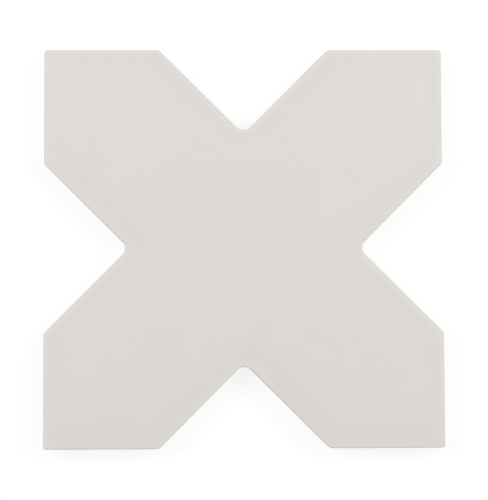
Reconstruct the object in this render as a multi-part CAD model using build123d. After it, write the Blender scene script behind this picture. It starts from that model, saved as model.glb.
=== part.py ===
from build123d import *
import math
import os

# A pressed porcelain cross tile, in millimetres. It lies face up on its back, which is at z = 0.
# Its four arms point at the corners of a square, along the diagonals between X and Y.

# Outline, seen from above
SPAN = 120.0  # side of the square whose corners are the four arm tips
ARM_SIDE = 34.5  # each of the two sides that meet at a right angle in an arm's tip
TIP_RADIUS = 0.8  # rounding of the four tips
SHOULDER_RADIUS = 2.0  # rounding of the eight blunt corners beside the tips
NOTCH_RADIUS = 2.9  # rounding inside the four right-angled notches

# Section through the edge
THICKNESS = 9.0
CUSHION_WIDTH = 11.0  # how far in from the side wall the face starts to fall away
CUSHION_DROP = 0.5  # how much lower the face would meet the side wall
CUSHION_RINGS = 4  # outlines that the falling rim runs through
FLAT_TIP_RADIUS = 6.0  # rounding of the flat face's own outline at the tips
FLAT_SHOULDER_RADIUS = 9.0  # the same at the blunt corners
ARRIS_RADIUS = 0.4  # rounded top edge
FOOT_BEVEL = 0.5  # small bevel round the bottom edge

# Keying pattern pressed into the back, which gives the adhesive its grip
POCKET_SIDE = 7.8
POCKET_CORNER_RADIUS = 1.6
POCKET_DEPTH = 0.7
POCKET_DRAFT = 25.0  # slope of a pocket's walls, in degrees from upright
RIB_WIDTH = 2.4  # between two pockets, where it meets the adhesive
BACK_BORDER = 3.5  # plain back between a pocket and the side wall, at least

HALF_SPAN = SPAN / 2
ROOT_2 = math.sqrt(2)
ARM_ANGLE = 45  # direction of the first arm, in degrees from X
QUARTER_TURN = 90  # from one arm to the next
TOLERANCE = 1e-4  # for finding edges by their height


def outline(inset, tip_radius, shoulder_radius, notch_radius):
    """The cross as a flat face, each side moved inwards by inset, with its corners rounded."""
    edge = HALF_SPAN - inset
    notch = ARM_SIDE - inset * ROOT_2  # from the centre to the bottom of a notch
    shoulder = edge - notch  # from the middle of a side to the blunt corner
    one_arm = [(0, notch), (shoulder, edge), (edge, edge), (edge, shoulder)]
    corners = [Vector(x, y).rotate(Axis.Z, -QUARTER_TURN * arm) for arm in range(4) for x, y in one_arm]
    radii = [notch_radius, shoulder_radius, tip_radius, shoulder_radius] * 4
    return make_face(FilletPolyline(*corners, radius=radii, close=True).edges()).face()


def rim_outline(inward):
    """The outline of the falling rim at a share of its width, from 0 at the wall to 1 at the flat face."""
    inset = CUSHION_WIDTH * inward
    tip_radius = TIP_RADIUS + (FLAT_TIP_RADIUS - TIP_RADIUS) * inward
    shoulder_radius = SHOULDER_RADIUS + (FLAT_SHOULDER_RADIUS - SHOULDER_RADIUS) * inward
    height = THICKNESS - CUSHION_DROP * (1 - inward) ** 2
    return Pos(0, 0, height) * outline(inset, tip_radius, shoulder_radius, NOTCH_RADIUS + inset)


def blank():
    """The tile as it leaves the upper die: cushioned face, rounded arris, bevelled foot, plain back."""
    wall_top = THICKNESS - CUSHION_DROP
    wall = extrude(outline(0, TIP_RADIUS, SHOULDER_RADIUS, NOTCH_RADIUS), amount=wall_top)
    rim = loft([rim_outline(ring / CUSHION_RINGS) for ring in range(CUSHION_RINGS + 1)])
    body = wall + rim
    arris = body.edges().filter_by_position(Axis.Z, wall_top - TOLERANCE, wall_top + TOLERANCE)
    body = fillet(arris, ARRIS_RADIUS)
    return chamfer(body.edges().group_by(Axis.Z)[0], FOOT_BEVEL)


def clear_of_walls(x, y):
    """How far a point of the tile is from the nearest side wall, as seen from above."""
    to_outer_side = HALF_SPAN - max(abs(x), abs(y))
    to_notch_side = (ARM_SIDE - abs(abs(x) - abs(y))) / ROOT_2
    return min(to_outer_side, to_notch_side)


def pocket_centres():
    """Centres of the pockets: a square grid along the arms, with a rib crossing at the tile's centre."""
    pitch = POCKET_SIDE + RIB_WIDTH
    per_side = math.ceil(HALF_SPAN * ROOT_2 / pitch)
    steps = [pitch * (i + 0.5) for i in range(-per_side, per_side)]
    half = POCKET_SIDE / 2
    for along in steps:
        for across in steps:
            centre = Vector(along, across).rotate(Axis.Z, ARM_ANGLE)
            corners = [
                Vector(along + i * half, across + j * half).rotate(Axis.Z, ARM_ANGLE)
                for i in (-1, 1)
                for j in (-1, 1)
            ]
            if min(clear_of_walls(c.X, c.Y) for c in corners) >= BACK_BORDER:
                yield centre


def pockets():
    """What the lower die's studs leave in the back: shallow rounded squares with sloping walls."""
    mouth = Rot(0, 0, ARM_ANGLE) * RectangleRounded(POCKET_SIDE, POCKET_SIDE, POCKET_CORNER_RADIUS)
    stud = extrude(mouth, amount=POCKET_DEPTH, taper=POCKET_DRAFT)
    return [Pos(c.X, c.Y, 0) * stud for c in pocket_centres()]


def tile():
    return blank() - pockets()


os.makedirs("parts", exist_ok=True)
export_step(tile(), "parts/cross_tile.step")
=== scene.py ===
import math

import bmesh
import bpy
import numpy as np
from mathutils import Euler, Matrix, Vector
from mathutils.geometry import delaunay_2d_cdt


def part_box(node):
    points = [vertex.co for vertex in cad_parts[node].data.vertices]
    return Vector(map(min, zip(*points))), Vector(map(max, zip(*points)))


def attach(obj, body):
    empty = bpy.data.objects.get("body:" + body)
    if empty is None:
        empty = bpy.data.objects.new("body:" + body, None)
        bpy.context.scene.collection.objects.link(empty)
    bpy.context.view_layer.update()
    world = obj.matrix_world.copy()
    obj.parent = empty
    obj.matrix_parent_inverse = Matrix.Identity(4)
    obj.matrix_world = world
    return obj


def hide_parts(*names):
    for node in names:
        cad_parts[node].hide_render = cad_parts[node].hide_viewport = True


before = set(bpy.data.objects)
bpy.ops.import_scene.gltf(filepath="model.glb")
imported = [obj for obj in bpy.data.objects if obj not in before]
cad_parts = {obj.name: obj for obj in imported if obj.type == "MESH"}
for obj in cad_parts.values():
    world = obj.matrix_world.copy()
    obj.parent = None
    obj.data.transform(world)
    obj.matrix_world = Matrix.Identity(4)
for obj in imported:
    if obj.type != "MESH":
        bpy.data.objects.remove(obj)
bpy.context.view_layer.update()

# A pressed and glazed porcelain cross tile, lying face up on a pale floor. Lengths are in metres.

MM = 0.001
ROOT_2 = math.sqrt(2)

tile_low, tile_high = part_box("cross_tile")
SPAN = tile_high.x - tile_low.x
THICKNESS = tile_high.z - tile_low.z
HALF_SPAN = SPAN / 2

# Outline of the wall, seen from above
ARM_SIDE = 34.5 * MM
TIP_RADIUS = 0.8 * MM
SHOULDER_RADIUS = 2.0 * MM
NOTCH_RADIUS = 2.9 * MM
SHARPEST_RADIUS = 0.3 * MM  # of a corner that shrinks as its outline moves inwards

# Points round the outline
NOTCH_STEPS = 12
SHOULDER_STEPS = 6
TIP_STEPS = 12
NOTCH_SIDE_STEPS = 32
TIP_SIDE_STEPS = 28
CLOSER_AT_CORNERS = 0.6  # 0 spaces a straight side's points evenly

# Section through the edge
FOOT_BEVEL = 0.5 * MM
FOOT_FULLNESS = 1.3  # 1 is a plain bevel and 2 a quarter round
ARRIS_RADIUS = 0.4 * MM
CUSHION_WIDTH = 12.0 * MM
FLAT_TIP_RADIUS = 6.0 * MM
FLAT_SHOULDER_RADIUS = 9.0 * MM
ROLL_SLOPE = 0.080  # of the soft roll that takes the face down towards the rim
ROLL_INSET = 5.6 * MM
ROLL_REACH = (2.2 * MM, 3.0 * MM)  # towards the wall, and towards the middle
SHELF_SLOPE = 0.017  # of the shelf between the roll and the arris
SHELF_INSET = 3.2 * MM
SHELF_FADE = 0.5 * MM
LIP_SLOPE = 0.050  # where the glaze thins towards the arris
LIP_REACH = 1.4 * MM

# Points along the section
FOOT_STEPS = 6
WALL_STEPS = 9
ARRIS_STEPS = 7
CUSHION_STEPS = 19
CLOSER_AT_ARRIS = 1.3  # 1 spaces the cushion's points evenly
SLOPE_SAMPLES = 1201

# Glaze, by how far in from the wall it lies
RIM_HIGHLIGHT_REACH = 2.3 * MM  # the painted highlight along the rim reaches from the wall to here
POOL_RISE = (0.2 * MM, 3.6 * MM)  # the glaze lies thickest between these two
POOL_FALL = (3.2 * MM, 8.1 * MM)
GLAZE_RUN = 2.6 * MM  # down the wall, the cover of glaze falls to 0 over this

# Keyed back
POCKET_SIDE = 7.8 * MM
POCKET_CORNER_RADIUS = 1.6 * MM
POCKET_DEPTH = 0.7 * MM
POCKET_DRAFT = math.radians(25)
POCKET_LIP = 0.3 * MM  # rounding of a pocket's mouth and of the corner at its floor
POCKET_LIP_STEPS = 3
POCKET_CORNER_STEPS = 6
RIB_WIDTH = 2.4 * MM
BACK_BORDER = 3.5 * MM
LAND_START = 2.6 * MM  # how far in from the wall the flat land of the back is filled in one piece

# Slight warp from the kiln
WARP_DEPTH = 0.030 * MM
WARP_WAVES = 9
WARP_LENGTHS = (14 * MM, 46 * MM)
WARP_SEED = 4
WARP_FADE = (1 * MM, 3 * MM)  # it fades out between these depths below the face

# Points that lie closer than this count as one, in the whole mesh and in filling the back's land
WELD_DISTANCE = 0.002 * MM
FILL_TOLERANCE = 0.0002 * MM

# Colours of the finishes, as linear red, green and blue
PALE_GLAZE = (0.7320, 0.7030, 0.6752)
DEEP_GLAZE = (0.7190, 0.6865, 0.6528)
POOLED_TONE = (0.9855, 0.9855, 0.9855)  # multiplies the glaze's colour where it pools
PAINTED_RIM_HIGHLIGHT = (1.0160, 1.0260, 1.0320)  # multiplies it along the rim, a painted highlight that makes it paler and bluer
BODY_LIGHT = (0.735, 0.690, 0.625)
BODY_DARK = (0.665, 0.615, 0.545)
BODY_SPECK = (0.420, 0.375, 0.320)
KILN_WASH = (0.840, 0.830, 0.805)

# Noise in the finishes. Each layer has its size, its detail, how far it is drawn out upwards, and its share
GRAIN_SPAN = (0.3, 0.7)  # most of the noise lies between these two values
GLAZE_CLOUDS = ((17 * MM, 2, 1, 0.55), (3.5 * MM, 2, 1, 0.30), (0.7 * MM, 3, 1, 0.07))
BODY_CLOUDS = ((0.7 * MM, 4, 1, 1.0),)
GLAZE_SATIN = ((6 * MM, 2, 1, 1.0),)
BODY_DRYNESS = ((1.2 * MM, 2, 1, 1.0),)
GLAZE_ROUGHNESS = (0.55, 0.63)
BODY_ROUGHNESS = (0.78, 0.90)

# The same for their fine relief, with heights in millimetres instead of shares
GLAZE_RELIEF = ((4.0 * MM, 1, 1, 0.024), (0.5 * MM, 2, 1, 0.001))
BODY_RELIEF = ((0.35 * MM, 3, 1, 0.014), (0.6 * MM, 2, 14, 0.012))
GLAZE_STEP = 0.020  # the glaze stands proud of the body by this where it stops

# Where the glaze stops on the wall
RUNS = ((5 * MM, 3, 3, 0.5),)
RUN_OUT = (0.41, 0.44)  # cover, with the runs added: bare body up to the first, glaze from the second on

# Specks in the body, and the kiln wash on the back
SPECK_SPACING = 1.5 * MM
SPECK_EDGE = (0.06, 0.14)  # shares of that spacing from a speck's middle to where it fades, and is gone
SPECK_STRENGTH = 0.55
WASH_PATCHES = (11 * MM, 6)
WASH_EDGE = (0.47, 0.60)  # noise at which a patch of wash begins, and is whole
WASH_STRENGTH = 0.7
RIB_TOPS = (0.02 * MM, 0.12 * MM)  # the wash is whole up to the first height, and gone at the second

# Studio: a white floor and two soft boxes, left and right of the tile and a little behind it
FLOOR_SIDE = 6.0
FLOOR_GAP = 0.02 * MM
FLOOR_PAINT = (0.80, 0.80, 0.80)  # as it throws light back on the tile
FLOOR_SEEN = (0.20, 0.20, 0.20)  # where it is looked at, with the glow added
FLOOR_GLOW = 0.83
WORLD_LIGHT = 0.361
LAMP_SIDE = 0.46
LAMP_ASIDE = 0.51
LAMP_BEHIND = 0.163
LAMP_HEIGHT = 0.60
LEFT_POWER = 2.71
RIGHT_POWER = 2.92

# Camera, as fitted to the tile's outline in the picture. The turn and the shift are those of the face, as it
# lies in front of the camera
PICTURE_HEIGHT = 500
FOCAL_PIXELS = 1592
SENSOR_WIDTH = 36
CAMERA_TURN = Euler((math.radians(-3.63), math.radians(1.31), math.radians(0.15)))
CAMERA_SHIFT = Vector((-0.0001, 0.0059, -3.9801)) * SPAN


def smooth_bump(distance, reach):
    """1 at distance 0, falling off as a bell to almost nothing past twice the reach."""
    return np.exp(-((distance / reach) ** 2))


def turned_left(direction):
    """The direction x, y turned by a quarter turn anticlockwise, which is -y, x."""
    return np.array([-direction[1], direction[0]])


def corner_arc(corner, way_in, turn, radius, steps):
    """Rounding of a corner: rows of points on the arc that touches the way in and the way out.

    corner has a row for each outline, and radius a value for each. The arc's centre is one radius to the
    inner side of the way in, and the point swings about it from the way in through the turn.
    """
    side = math.copysign(1, turn)
    left = turned_left(way_in)
    swing = np.linspace(0, turn, steps + 1)[None, :, None]
    radius = radius[:, None]
    start = corner - radius * math.tan(abs(turn) / 2) * way_in
    centre = start + side * radius * left
    spoke = left * np.cos(swing) - way_in * np.sin(swing)
    return centre[:, None, :] - side * radius[:, :, None] * spoke


def side_between(first, last, steps):
    """Inner points of a straight side, from first to last, closer together near its two ends."""
    even = np.arange(1, steps) / steps
    share = even - CLOSER_AT_CORNERS * np.sin(2 * np.pi * even) / (2 * np.pi)
    return first[:, None, :] + share[None, :, None] * (last - first)[:, None, :]


def outline_rows(inset, tip_radius, shoulder_radius, notch_radius):
    """The cross seen from above, once for each inset of its sides: an array of rows, points and x, y.

    An arm's sharp corners are (n, 0), (e, e - n), (e, e), (e - n, e) and (0, n), with e half the span less
    the inset and n the arm's side less the inset times the root of 2. They are rounded, the sides between
    them are filled in, and the arm is turned by quarter turns. It runs from the middle of one notch to the
    middle of the next, anticlockwise.
    """
    edge = HALF_SPAN - inset
    notch = ARM_SIDE - inset * ROOT_2
    none = np.zeros_like(edge)
    up = np.array([0.0, 1.0])
    rising = np.array([1.0, 1.0]) / ROOT_2
    eighth = math.pi / 4

    notch_corner = np.stack([notch, none], axis=1)
    shoulder_corner = np.stack([edge, edge - notch], axis=1)
    tip_corner = np.stack([edge, edge], axis=1)
    whole_notch = corner_arc(notch_corner, turned_left(rising), -2 * eighth, notch_radius, NOTCH_STEPS)
    first_notch = whole_notch[:, NOTCH_STEPS // 2 :]
    shoulder = corner_arc(shoulder_corner, rising, eighth, shoulder_radius, SHOULDER_STEPS)
    tip = corner_arc(tip_corner, up, 2 * eighth, tip_radius, TIP_STEPS)
    next_shoulder = shoulder[:, ::-1, ::-1]
    next_notch = first_notch[:, :0:-1, ::-1]
    arm = [
        first_notch,
        side_between(first_notch[:, -1], shoulder[:, 0], NOTCH_SIDE_STEPS),
        shoulder,
        side_between(shoulder[:, -1], tip[:, 0], TIP_SIDE_STEPS),
        tip,
        side_between(tip[:, -1], next_shoulder[:, 0], TIP_SIDE_STEPS),
        next_shoulder,
        side_between(next_shoulder[:, -1], next_notch[:, 0], NOTCH_SIDE_STEPS),
        next_notch,
    ]
    quarter_turn = np.array([[0.0, 1.0], [-1.0, 0.0]])
    arms = [np.concatenate(arm, axis=1) @ np.linalg.matrix_power(quarter_turn, turns) for turns in range(4)]
    return np.concatenate(arms, axis=1)


def face_slope(inset):
    """How steeply the face falls towards the wall: the sum of a bell for the wide roll, a soft step for the
    shelf outside it, and half a bell at the wall for the glaze's lip."""
    roll = ROLL_SLOPE * smooth_bump(inset - ROLL_INSET, np.where(inset < ROLL_INSET, *ROLL_REACH))
    shelf = SHELF_SLOPE / (1 + np.exp((inset - SHELF_INSET) / SHELF_FADE))
    lip = LIP_SLOPE * smooth_bump(inset, LIP_REACH)
    return roll + shelf + lip


def face_height(inset):
    """Height of the face at an inset from the wall: the slope, summed outwards from the flat middle."""
    samples = np.linspace(0, CUSHION_WIDTH, SLOPE_SAMPLES)
    slope = face_slope(samples)
    falls = (slope[1:] + slope[:-1]) / 2 * np.diff(samples)
    fallen = np.append(np.cumsum(falls[::-1])[::-1], 0)
    return THICKNESS - np.interp(inset, samples, fallen)


def section():
    """The edge, cut square across: arrays of inset and height, from the back round to the flat of the face.

    The foot is a superellipse, the wall is straight, the arris is an arc between the wall and the slope of
    the face, and the cushion follows face_height.
    """
    foot_turn = np.linspace(np.pi / 2, 0, FOOT_STEPS + 1)
    foot_inset = FOOT_BEVEL * (1 - np.cos(foot_turn) ** (2 / FOOT_FULLNESS))
    foot_height = FOOT_BEVEL * (1 - np.sin(foot_turn) ** (2 / FOOT_FULLNESS))
    tilt = math.atan(face_slope(np.array(ARRIS_RADIUS)))
    arris_end = ARRIS_RADIUS * (1 - math.sin(tilt))
    arris_centre = face_height(arris_end) - ARRIS_RADIUS * math.cos(tilt)
    arris_turn = np.linspace(0, np.pi / 2 - tilt, ARRIS_STEPS + 1)
    arris_inset = ARRIS_RADIUS * (1 - np.cos(arris_turn))
    arris_height = arris_centre + ARRIS_RADIUS * np.sin(arris_turn)
    wall_height = np.linspace(FOOT_BEVEL, arris_centre, WALL_STEPS + 1)[1:-1]
    cushion_share = np.linspace(0, 1, CUSHION_STEPS + 1)[1:] ** CLOSER_AT_ARRIS
    cushion_inset = arris_end + (CUSHION_WIDTH - arris_end) * cushion_share
    inset = np.concatenate([[LAND_START], foot_inset, 0 * wall_height, arris_inset, cushion_inset])
    height = np.concatenate([[0.0], foot_height, wall_height, arris_height, face_height(cushion_inset)])
    return inset, height


def glaze_cover(height):
    """1 where the glaze covers the body, falling to 0 down the wall."""
    below_face = np.clip(THICKNESS - ARRIS_RADIUS - height, 0, None)
    return np.clip(1 - below_face / GLAZE_RUN, 0, 1)


def corner_radii(radius, flat_radius, inset, on_face):
    """Radius of one kind of corner at each inset. On the face it grows towards the flat's own radius, and
    below it shrinks by the inset."""
    inward = np.clip(inset / CUSHION_WIDTH, 0, 1)
    radii = np.where(on_face, radius + (flat_radius - radius) * inward, radius - inset)
    return np.maximum(radii, SHARPEST_RADIUS)


def edge_surface():
    """The section carried round the outline, a closed band: a grid of points, section by outline. With it
    come two values for each point, how far it is in from the wall and its glaze cover."""
    inset, height = section()
    on_face = height > THICKNESS / 2
    tip = corner_radii(TIP_RADIUS, FLAT_TIP_RADIUS, inset, on_face)
    shoulder = corner_radii(SHOULDER_RADIUS, FLAT_SHOULDER_RADIUS, inset, on_face)
    rows = outline_rows(inset, tip, shoulder, NOTCH_RADIUS + inset)
    z = np.broadcast_to(height[:, None, None], rows.shape[:2] + (1,))
    values = np.stack([inset, glaze_cover(height)], axis=1)
    values = np.broadcast_to(values[:, None, :], rows.shape[:2] + (2,))
    return np.concatenate([rows, z], axis=2), values.reshape(-1, 2)


def filled_patch(first, last, left, right):
    """A patch between four curves: the blend across plus the blend along, less the blend of the corners."""
    across = np.linspace(0, 1, len(first))[None, :, None]
    along = np.linspace(0, 1, len(left))[:, None, None]
    ends = (1 - along) * first[None] + along * last[None]
    sides = (1 - across) * left[:, None] + across * right[:, None]
    first_corners = (1 - across) * first[0] + across * first[-1]
    last_corners = (1 - across) * last[0] + across * last[-1]
    return ends + sides - (1 - along) * first_corners - along * last_corners


def face_patches(rim):
    """The flat of the face as five patches inside the closed rim: one for each arm, and the middle."""
    arm_points = len(rim) // 4
    long_steps = NOTCH_STEPS // 2 + NOTCH_SIDE_STEPS + SHOULDER_STEPS // 2
    wide_steps = arm_points - 2 * long_steps
    closed = np.concatenate([rim, rim[:1]])
    patches = []
    roots = []
    for arm in range(4):
        side = closed[arm * arm_points : (arm + 1) * arm_points + 1]
        right = side[: long_steps + 1]
        end = side[long_steps : long_steps + wide_steps + 1]
        left = side[long_steps + wide_steps :][::-1]
        travelled = np.append(0, np.cumsum(np.linalg.norm(np.diff(end, axis=0), axis=1)))
        share = (travelled / travelled[-1])[:, None]
        root = right[0] + (left[0] - right[0]) * share
        patches.append(filled_patch(root, end, right, left))
        roots.append(root)
    patches.append(filled_patch(roots[0][::-1], roots[2], roots[1], roots[3][::-1]))
    return patches


def grid_faces(rows, columns, closed):
    """Corners of the four-sided faces of a grid of points, row by row. A closed grid joins its last column
    to its first."""
    row = np.arange(rows - 1)[:, None] * columns
    column = np.arange(columns if closed else columns - 1)[None, :]
    after = (column + 1) % columns
    corners = [row + column, row + after, row + columns + after, row + columns + column]
    return np.stack(corners, axis=-1).reshape(-1, 4)


def pocket_centres():
    """Centres of the back's pockets: a square grid along the arms, kept where all four corners are clear of
    the walls."""
    pitch = POCKET_SIDE + RIB_WIDTH
    per_side = math.ceil(HALF_SPAN * ROOT_2 / pitch)
    steps = pitch * (np.arange(-per_side, per_side) + 0.5)
    along, across = (grid.ravel() for grid in np.meshgrid(steps, steps))
    reach = POCKET_SIDE / 2 * np.array([[-1, -1], [-1, 1], [1, -1], [1, 1]])
    corner_along = along[:, None] + reach[None, :, 0]
    corner_across = across[:, None] + reach[None, :, 1]
    x = np.abs(corner_along - corner_across) / ROOT_2
    y = np.abs(corner_along + corner_across) / ROOT_2
    clear = np.minimum(HALF_SPAN - np.maximum(x, y), (ARM_SIDE - np.abs(x - y)) / ROOT_2)
    kept = clear.min(axis=1) >= BACK_BORDER
    return np.stack([along - across, along + across], axis=1)[kept] / ROOT_2


def pocket_surface():
    """One pocket about its own centre: its section carried round a square with rounded corners.

    The section is an arc from the land into the sloping wall, the same arc turned about into the floor, and
    the floor to its middle. Grid of section by outline, clockwise as seen from above.
    """
    turn = np.pi / 2 - POCKET_DRAFT
    swing = np.linspace(0, turn, POCKET_LIP_STEPS + 1)
    mouth_inset = POCKET_LIP * (np.sin(swing) - math.tan(turn / 2))
    mouth_height = POCKET_LIP * (1 - np.cos(swing))
    foot_inset = POCKET_DEPTH * math.tan(POCKET_DRAFT) - mouth_inset[::-1]
    foot_height = POCKET_DEPTH - mouth_height[::-1]
    inset = np.concatenate([mouth_inset, foot_inset, [POCKET_SIDE / 4, POCKET_SIDE / 2]])
    height = np.concatenate([mouth_height, foot_height, [POCKET_DEPTH, POCKET_DEPTH]])

    half_side = POCKET_SIDE / 2 - inset
    radius = np.clip(POCKET_CORNER_RADIUS - inset, 0, half_side)
    quarter = np.arange(4)[:, None] * np.pi / 2
    corner_swing = np.linspace(0, np.pi / 2, POCKET_CORNER_STEPS + 1)[None, :]
    angle = (quarter + corner_swing).ravel()
    corner = np.repeat(quarter + np.pi / 4, corner_swing.size)
    hub = (half_side - radius)[:, None] * ROOT_2
    along = hub * np.cos(corner) + radius[:, None] * np.cos(angle)
    across = hub * np.sin(corner) + radius[:, None] * np.sin(angle)
    z = np.broadcast_to(height[:, None], along.shape)
    return np.stack([(along - across) / ROOT_2, (along + across) / ROOT_2, z], axis=-1)[:, ::-1]


def back_land(border, mouths):
    """The flat of the back between its border and the pockets' mouths, filled with triangles."""
    loops = [border] + mouths
    points = np.concatenate(loops).tolist()
    starts = np.cumsum([0] + [len(loop) for loop in loops])
    rings = [list(range(start, stop)) for start, stop in zip(starts[:-1], starts[1:])]
    keep_holes = 2
    flat, _, triangles, *_ = delaunay_2d_cdt(points, [], rings, keep_holes, FILL_TOLERANCE)
    land = np.zeros((len(flat), 3))
    land[:, :2] = np.array(flat)
    return land, np.array(triangles)[:, ::-1]


def kiln_warp(x, y):
    """Depth of the slight hollows of a fired face: a sum of plane waves of random lengths and directions,
    scaled to lie between 0 and 1."""
    draw = np.random.default_rng(WARP_SEED)
    length = draw.uniform(*WARP_LENGTHS, WARP_WAVES)
    heading = draw.uniform(0, 2 * np.pi, WARP_WAVES)
    phase = draw.uniform(0, 2 * np.pi, WARP_WAVES)
    travel = x[:, None] * np.cos(heading) + y[:, None] * np.sin(heading)
    waves = np.sin(2 * np.pi * travel / length + phase) * length
    return 0.5 + 0.5 * waves.sum(axis=1) / length.sum()


def tile_surfaces():
    """All the surfaces of the tile, each as its points, its faces and its points' two values."""
    edge, edge_values = edge_surface()
    yield edge.reshape(-1, 3), grid_faces(edge.shape[0], edge.shape[1], True), edge_values
    for patch in face_patches(edge[-1, :, :2]):
        rows, columns = patch.shape[:2]
        flat = np.concatenate([patch.reshape(-1, 2), np.full((rows * columns, 1), THICKNESS)], axis=1)
        yield flat, grid_faces(rows, columns, False), np.tile([CUSHION_WIDTH, 1.0], (len(flat), 1))
    pocket = pocket_surface()
    rows, columns = pocket.shape[:2]
    mouths = []
    for centre in pocket_centres():
        placed = pocket + np.append(centre, 0)
        mouths.append(placed[0, :, :2])
        yield placed.reshape(-1, 3), grid_faces(rows, columns, True), np.zeros((rows * columns, 2))
    land, land_faces = back_land(edge[0, :, :2], mouths)
    yield land, land_faces, np.zeros((len(land), 2))


def tile_mesh():
    """The surfaces joined in one mesh, its face warped a little, with the values as attributes."""
    surfaces = list(tile_surfaces())
    points = np.concatenate([part_points for part_points, _, _ in surfaces])
    values = np.concatenate([part_values for _, _, part_values in surfaces])
    faces = []
    start = 0
    for part_points, part_faces, _ in surfaces:
        faces += (part_faces + start).tolist()
        start += len(part_points)
    depth = THICKNESS - points[:, 2]
    on_face = 1 - np.clip((depth - WARP_FADE[0]) / (WARP_FADE[1] - WARP_FADE[0]), 0, 1)
    points[:, 2] -= WARP_DEPTH * kiln_warp(points[:, 0], points[:, 1]) * on_face
    mesh = bpy.data.meshes.new("cross_tile_fired")
    mesh.from_pydata(points, [], faces)
    for column, name in enumerate(("from_wall", "glaze_cover")):
        attribute = mesh.attributes.new(name, "FLOAT", "POINT")
        attribute.data.foreach_set("value", values[:, column].astype(np.float32))
    return mesh


def weld(mesh):
    """Joins the points that surfaces share, turns every face outwards and shades the mesh smooth."""
    work = bmesh.new()
    work.from_mesh(mesh)
    bmesh.ops.remove_doubles(work, verts=work.verts, dist=WELD_DISTANCE)
    bmesh.ops.recalc_face_normals(work, faces=work.faces)
    work.to_mesh(mesh)
    work.free()
    mesh.polygons.foreach_set("use_smooth", np.ones(len(mesh.polygons), bool))


def make_tile():
    """The tile as one closed mesh, in the place of the plain solid."""
    mesh = tile_mesh()
    weld(mesh)
    tile = bpy.data.objects.new("cross_tile_fired", mesh)
    bpy.context.scene.collection.objects.link(tile)
    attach(tile, "root")
    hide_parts("cross_tile")
    return tile


tile = make_tile()


class Finish:
    """The nodes of a material or of the world. Each call that adds a node gives that node's output."""

    def __init__(self, owner, shader):
        owner.use_nodes = True
        self.tree = owner.node_tree
        self.shader = self.tree.nodes[shader]

    def feed(self, socket, value):
        """Links the value where it is another node's output, and sets it otherwise."""
        if isinstance(value, bpy.types.NodeSocket):
            self.tree.links.new(value, socket)
        else:
            socket.default_value = value

    def shade(self, name, value):
        """Sets or links one of the shader's own inputs."""
        self.feed(self.shader.inputs[name], value)

    def add(self, kind, output, inputs, **settings):
        node = self.tree.nodes.new(kind)
        for name, value in settings.items():
            setattr(node, name, value)
        for name, value in inputs.items():
            self.feed(node.inputs[name], value)
        return node.outputs[output]

    def maths(self, operation, *values):
        return self.add("ShaderNodeMath", "Value", dict(enumerate(values)), operation=operation)

    def ramp(self, value, start, stop, low=0.0, high=1.0):
        """low up to start, high from stop on, and a soft rise between them."""
        inputs = {"Value": value, "From Min": start, "From Max": stop, "To Min": low, "To Max": high}
        return self.add("ShaderNodeMapRange", "Result", inputs, interpolation_type="SMOOTHSTEP")

    def height(self):
        """Height above the back."""
        place = self.add("ShaderNodeTexCoord", "Object", {})
        return self.add("ShaderNodeSeparateXYZ", "Z", {"Vector": place})

    def value_of(self, attribute):
        return self.add("ShaderNodeAttribute", "Fac", {}, attribute_name=attribute)

    def steps_of(self, size, drawn_out=1):
        """The tile's own coordinates, counted in steps of size, longer upwards where it is drawn out."""
        place = self.add("ShaderNodeTexCoord", "Object", {})
        scale = (1 / size, 1 / size, 1 / (size * drawn_out))
        return self.add("ShaderNodeMapping", "Vector", {"Vector": place, "Scale": scale})

    def grain(self, size, detail, drawn_out=1):
        """Cloudy noise from 0 to 1."""
        inputs = {"Vector": self.steps_of(size, drawn_out), "Scale": 1.0, "Detail": detail}
        return self.add("ShaderNodeTexNoise", "Fac", inputs)

    def relief(self, layers):
        """The layers' noise, each times its height, added up."""
        total = 0.0
        for size, detail, drawn_out, height in layers:
            total = self.maths("MULTIPLY_ADD", self.grain(size, detail, drawn_out), height, total)
        return total

    def clouds(self, layers):
        """The layers' noise, each stretched to fill 0 to 1 and times its share, added up."""
        total = 0.0
        for size, detail, drawn_out, share in layers:
            filled = self.ramp(self.grain(size, detail, drawn_out), *GRAIN_SPAN)
            total = self.maths("MULTIPLY_ADD", filled, share, total)
        return total

    def specks(self, spacing):
        """Distance to the nearest of scattered points, as a share of their spacing."""
        inputs = {"Vector": self.steps_of(spacing), "Scale": 1.0}
        return self.add("ShaderNodeTexVoronoi", "Distance", inputs)

    def blend(self, share, first, second, way="MIX"):
        """first where share is 0, second laid over it where it is 1. Colours are red, green and blue."""
        colours = [c if isinstance(c, bpy.types.NodeSocket) else (*c, 1) for c in (first, second)]
        factor, colour_a, colour_b, colour_out = 0, 6, 7, 2
        inputs = {factor: share, colour_a: colours[0], colour_b: colours[1]}
        return self.add("ShaderNodeMix", colour_out, inputs, data_type="RGBA", blend_type=way)

    def blend_values(self, share, first, second):
        """The same for plain values."""
        factor, value_a, value_b, value_out = 0, 2, 3, 0
        inputs = {factor: share, value_a: first, value_b: second}
        return self.add("ShaderNodeMix", value_out, inputs, data_type="FLOAT")

    def looks_at_backdrop(self):
        """1 for rays that look at the backdrop: from the camera, or by way of gloss or glass."""
        path = self.tree.nodes.new("ShaderNodeLightPath").outputs
        gloss_or_glass = self.maths("MAXIMUM", path["Is Glossy Ray"], path["Is Transmission Ray"])
        return self.maths("MAXIMUM", path["Is Camera Ray"], gloss_or_glass)


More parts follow.
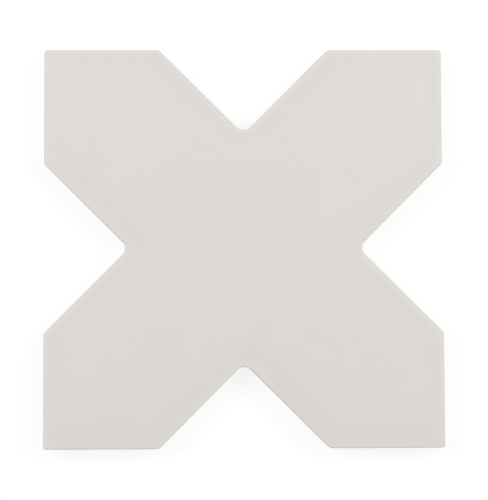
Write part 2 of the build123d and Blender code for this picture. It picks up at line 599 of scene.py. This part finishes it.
def glaze_tone(finish):
    """Colour of the glaze: soft clouds and a fine grain, deeper where it pools, and paler and bluer at the
    rim by a painted highlight.
    """
    clouded = finish.blend(finish.clouds(GLAZE_CLOUDS), PALE_GLAZE, DEEP_GLAZE)
    from_wall = finish.value_of("from_wall")
    rise = finish.ramp(from_wall, *POOL_RISE)
    fall = finish.ramp(from_wall, *POOL_FALL, 1.0, 0.0)
    pooled = finish.blend(finish.maths("MULTIPLY", rise, fall), clouded, POOLED_TONE, "MULTIPLY")
    # Paler and bluer towards the wall: a painted highlight along the rim.
    return finish.blend(finish.ramp(from_wall, 0, RIM_HIGHLIGHT_REACH, 1.0, 0.0), pooled, PAINTED_RIM_HIGHLIGHT, "MULTIPLY")


def body_tone(finish):
    """Colour of the bare fired body: fine grain, dark specks, and kiln wash left in patches on the ribs."""
    grained = finish.blend(finish.clouds(BODY_CLOUDS), BODY_DARK, BODY_LIGHT)
    speck = finish.ramp(finish.specks(SPECK_SPACING), *SPECK_EDGE, SPECK_STRENGTH, 0.0)
    specked = finish.blend(speck, grained, BODY_SPECK)
    patch = finish.ramp(finish.grain(*WASH_PATCHES), *WASH_EDGE, 0.0, WASH_STRENGTH)
    on_ribs = finish.ramp(finish.height(), *RIB_TOPS, 1.0, 0.0)
    return finish.blend(finish.maths("MULTIPLY", patch, on_ribs), specked, KILN_WASH)


def fired_porcelain():
    """The tile's one finish: matt glaze over the face and arris, which runs out raggedly down the wall."""
    material = bpy.data.materials.new("glazed_porcelain")
    finish = Finish(material, "Principled BSDF")
    ragged = finish.maths("ADD", finish.value_of("glaze_cover"), finish.relief(RUNS))
    glazed = finish.ramp(ragged, *RUN_OUT)
    finish.shade("Base Color", finish.blend(glazed, body_tone(finish), glaze_tone(finish)))

    satin = finish.blend_values(finish.clouds(GLAZE_SATIN), *GLAZE_ROUGHNESS)
    dry = finish.blend_values(finish.clouds(BODY_DRYNESS), *BODY_ROUGHNESS)
    finish.shade("Roughness", finish.blend_values(glazed, dry, satin))

    proud = finish.maths("MULTIPLY_ADD", glazed, GLAZE_STEP, finish.relief(GLAZE_RELIEF))
    height = finish.blend_values(glazed, finish.relief(BODY_RELIEF), proud)
    bump = finish.add("ShaderNodeBump", "Normal", {"Height": height, "Strength": 1.0, "Distance": MM})
    finish.shade("Normal", bump)
    return material


tile.data.materials.append(fired_porcelain())


def floor_white():
    """A white paint. Where it is looked at it is mostly a steady glow, so that its shadows are faint."""
    material = bpy.data.materials.new("floor_white")
    finish = Finish(material, "Principled BSDF")
    seen = finish.looks_at_backdrop()
    finish.shade("Base Color", finish.blend(seen, FLOOR_PAINT, FLOOR_SEEN))
    finish.shade("Roughness", 1.0)
    finish.shade("Specular IOR Level", 0.0)
    finish.shade("Emission Color", (1, 1, 1, 1))
    finish.shade("Emission Strength", finish.maths("MULTIPLY", seen, FLOOR_GLOW))
    return material


def make_floor():
    """A floor just under the tile, white where nothing shades it."""
    mesh = bpy.data.meshes.new("floor")
    corners = FLOOR_SIDE / 2 * np.array([[-1, -1, 0], [1, -1, 0], [1, 1, 0], [-1, 1, 0]])
    mesh.from_pydata(corners - [0, 0, FLOOR_GAP], [], [[0, 1, 2, 3]])
    mesh.materials.append(floor_white())
    floor = bpy.data.objects.new("floor", mesh)
    bpy.context.scene.collection.objects.link(floor)


make_floor()


def make_world():
    """Even light from all round, white to rays that look at the backdrop."""
    world = bpy.data.worlds.new("studio")
    finish = Finish(world, "Background")
    finish.shade("Color", (1, 1, 1, 1))
    finish.shade("Strength", finish.blend_values(finish.looks_at_backdrop(), WORLD_LIGHT, 1.0))
    bpy.context.scene.world = world


make_world()


def make_lamp(name, place, power):
    """A square soft box that faces the tile."""
    data = bpy.data.lights.new(name, "AREA")
    data.shape = "SQUARE"
    data.size = LAMP_SIDE
    data.energy = power
    lamp = bpy.data.objects.new(name, data)
    bpy.context.scene.collection.objects.link(lamp)
    lamp.location = place
    lamp.rotation_euler = (-Vector(place)).to_track_quat("-Z", "Y").to_euler()


make_lamp("left_lamp", (-LAMP_ASIDE, LAMP_BEHIND, LAMP_HEIGHT), LEFT_POWER)
make_lamp("right_lamp", (LAMP_ASIDE, LAMP_BEHIND, LAMP_HEIGHT), RIGHT_POWER)


def make_camera():
    """A camera placed so that the middle of the face lies at the fitted shift, turned by the fitted turn."""
    data = bpy.data.cameras.new("camera")
    camera = bpy.data.objects.new("camera", data)
    bpy.context.scene.collection.objects.link(camera)
    data.sensor_width = SENSOR_WIDTH
    data.lens = SENSOR_WIDTH * FOCAL_PIXELS / PICTURE_HEIGHT
    turn = CAMERA_TURN.to_matrix().transposed()
    place = Vector((0, 0, THICKNESS)) - turn @ CAMERA_SHIFT
    camera.matrix_world = Matrix.Translation(place) @ turn.to_4x4()
    bpy.context.scene.camera = camera


make_camera()
bpy.context.scene.view_settings.view_transform = "Standard"
